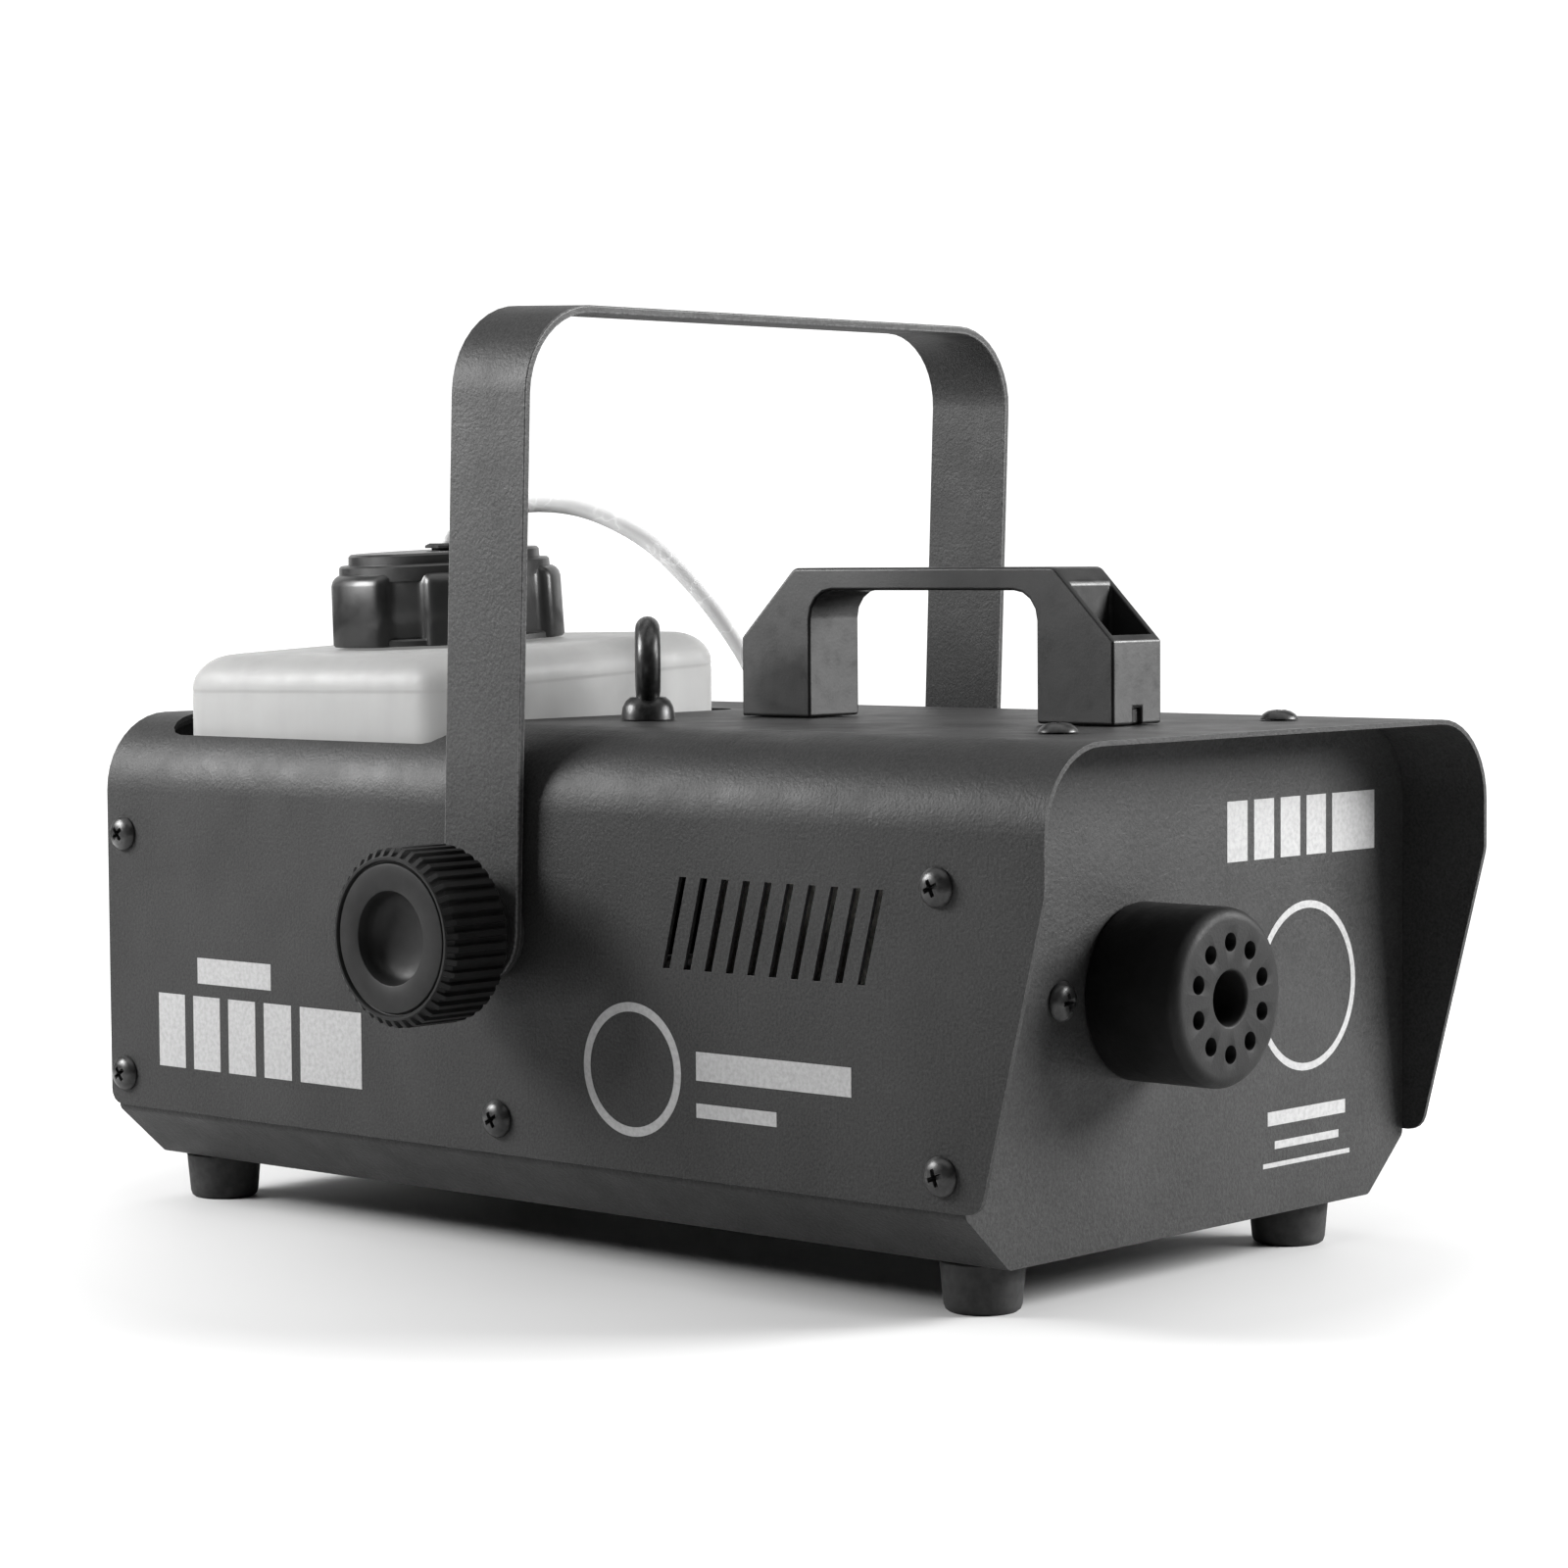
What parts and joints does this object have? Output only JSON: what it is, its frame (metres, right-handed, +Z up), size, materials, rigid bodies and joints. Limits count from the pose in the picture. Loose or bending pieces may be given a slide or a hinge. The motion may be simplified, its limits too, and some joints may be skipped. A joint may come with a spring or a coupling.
{
  "type": "fog machine",
  "caption": "Compact fog machine: folded steel body with a tilting hanging bracket and clamp knobs, lift-out fluid tank with screw cap and hose, carry handle, safety eyelet and front nozzle.",
  "frame": {"origin": "on the floor under the middle of the overall box", "axes": "+Z up, the nozzle faces -Y, the rear panel +Y, left and right as seen from behind"},
  "size_m": [0.251, 0.339, 0.242],
  "materials": {
    "black_powder_coat": "fine textured matte",
    "black_plastic": "satin",
    "gloss_black_plastic": "gloss",
    "black_screw": "gloss black",
    "black_rubber": "matte",
    "milky_plastic": "translucent satin",
    "clear_hose": "translucent",
    "zinc_steel": "satin",
    "cast_aluminium": "cast",
    "ceramic_wool": "fibrous",
    "circuit_board": "satin"
  },
  "bodies": {
    "body": {"base_pan": "black_powder_coat", "top_cover": "black_powder_coat", "tank_tray": "black_powder_coat", "foot_front_left": "black_rubber", "foot_front_right": "black_rubber", "foot_rear_left": "black_rubber", "foot_rear_right": "black_rubber", "friction_washer_left": "black_rubber", "friction_washer_right": "black_rubber", "hose_grommet": "black_rubber", "side_screw_rear_upper_left": "black_screw", "side_screw_rear_lower_left": "black_screw", "side_screw_middle_left": "black_screw", "side_screw_front_upper_left": "black_screw", "side_screw_front_lower_left": "black_screw", "side_screw_rear_upper_right": "black_screw", "side_screw_rear_lower_right": "black_screw", "side_screw_middle_right": "black_screw", "side_screw_front_upper_right": "black_screw", "side_screw_front_lower_right": "black_screw", "top_screw_left": "black_screw", "top_screw_right": "black_screw", "front_screw_left": "black_screw", "front_screw_right": "black_screw", "foot_screw_front_left": "black_screw", "foot_screw_front_right": "black_screw", "foot_screw_rear_left": "black_screw", "foot_screw_rear_right": "black_screw", "handle_screw_front": "black_screw", "handle_screw_rear": "black_screw", "safety_eyelet": "black_screw", "carry_handle": "black_plastic", "nozzle": "black_plastic", "pump": "black_plastic", "power_inlet": "black_plastic", "switch_frame": "black_plastic", "fuse_holder": "black_plastic", "remote_socket": "black_plastic", "fluid_hose": "clear_hose", "pivot_nut_left": "zinc_steel", "pivot_nut_right": "zinc_steel", "heater_bracket": "zinc_steel", "thermostat": "zinc_steel", "pump_pipe": "zinc_steel", "heater_block": "cast_aluminium", "heater_jacket": "ceramic_wool", "control_board": "circuit_board"},
    "bracket": {"hanging_bracket": "black_powder_coat"},
    "left_clamp": {"clamp_washer_left": "zinc_steel"},
    "left_knob": {"clamp_knob_left": "black_plastic", "knob_stud_left": "zinc_steel"},
    "right_clamp": {"clamp_washer_right": "zinc_steel"},
    "right_knob": {"clamp_knob_right": "black_plastic", "knob_stud_right": "zinc_steel"},
    "tank": {"tank_bottle": "milky_plastic", "hose_filter": "zinc_steel"},
    "cap_seal": {"cap_grommet": "black_rubber"},
    "cap": {"tank_cap": "gloss_black_plastic"},
    "rocker": {"power_rocker": "black_plastic"},
    "fuse": {"fuse_cap": "black_plastic"}
  },
  "joints": [
    {"name": "bracket_tilt", "type": "hinge", "parent": "body", "child": "bracket", "pos_m": [0, 0.0107, 0.0848], "axis": [1, 0, 0], "range_deg": [-60, 57]},
    {"name": "left_clamp_slide", "type": "slide", "parent": "body", "child": "left_clamp", "axis": [-1, 0, 0], "range_m": [0, 0.00125]},
    {"name": "left_knob_turn", "type": "hinge", "parent": "left_clamp", "child": "left_knob", "pos_m": [0, 0.0107, 0.0848], "axis": [-1, 0, 0], "range_deg": [0, 360]},
    {"name": "right_clamp_slide", "type": "slide", "parent": "body", "child": "right_clamp", "axis": [1, 0, 0], "range_m": [0, 0.00125]},
    {"name": "right_knob_turn", "type": "hinge", "parent": "right_clamp", "child": "right_knob", "pos_m": [0, 0.0107, 0.0848], "axis": [1, 0, 0], "range_deg": [0, 360]},
    {"name": "tank_lift", "type": "slide", "parent": "body", "child": "tank", "axis": [0, 0, 1], "range_m": [0, 0.11], "deforming": ["fluid_hose"]},
    {"name": "cap_rise", "type": "slide", "parent": "tank", "child": "cap_seal", "axis": [0, 0, 1], "range_m": [0, 0.003]},
    {"name": "cap_turn", "type": "hinge", "parent": "cap_seal", "child": "cap", "pos_m": [-0.0266, 0.093, 0.168], "axis": [0, 0, 1], "range_deg": [0, 360]},
    {"name": "rocker_tip", "type": "hinge", "parent": "body", "child": "rocker", "pos_m": [0.042, 0.161, 0.076], "axis": [1, 0, 0], "range_deg": [-18, 0]},
    {"name": "fuse_turn", "type": "hinge", "parent": "body", "child": "fuse", "pos_m": [0.072, 0.161, 0.076], "axis": [0, 1, 0], "range_deg": [0, 45]}
  ],
  "couplings": [
    {"joint": "left_knob_turn", "follows": "left_clamp_slide", "rad_per_m": 5026.5},
    {"joint": "right_knob_turn", "follows": "right_clamp_slide", "rad_per_m": 5026.5},
    {"joint": "cap_turn", "follows": "cap_rise", "rad_per_m": 2094.4}
  ]
}
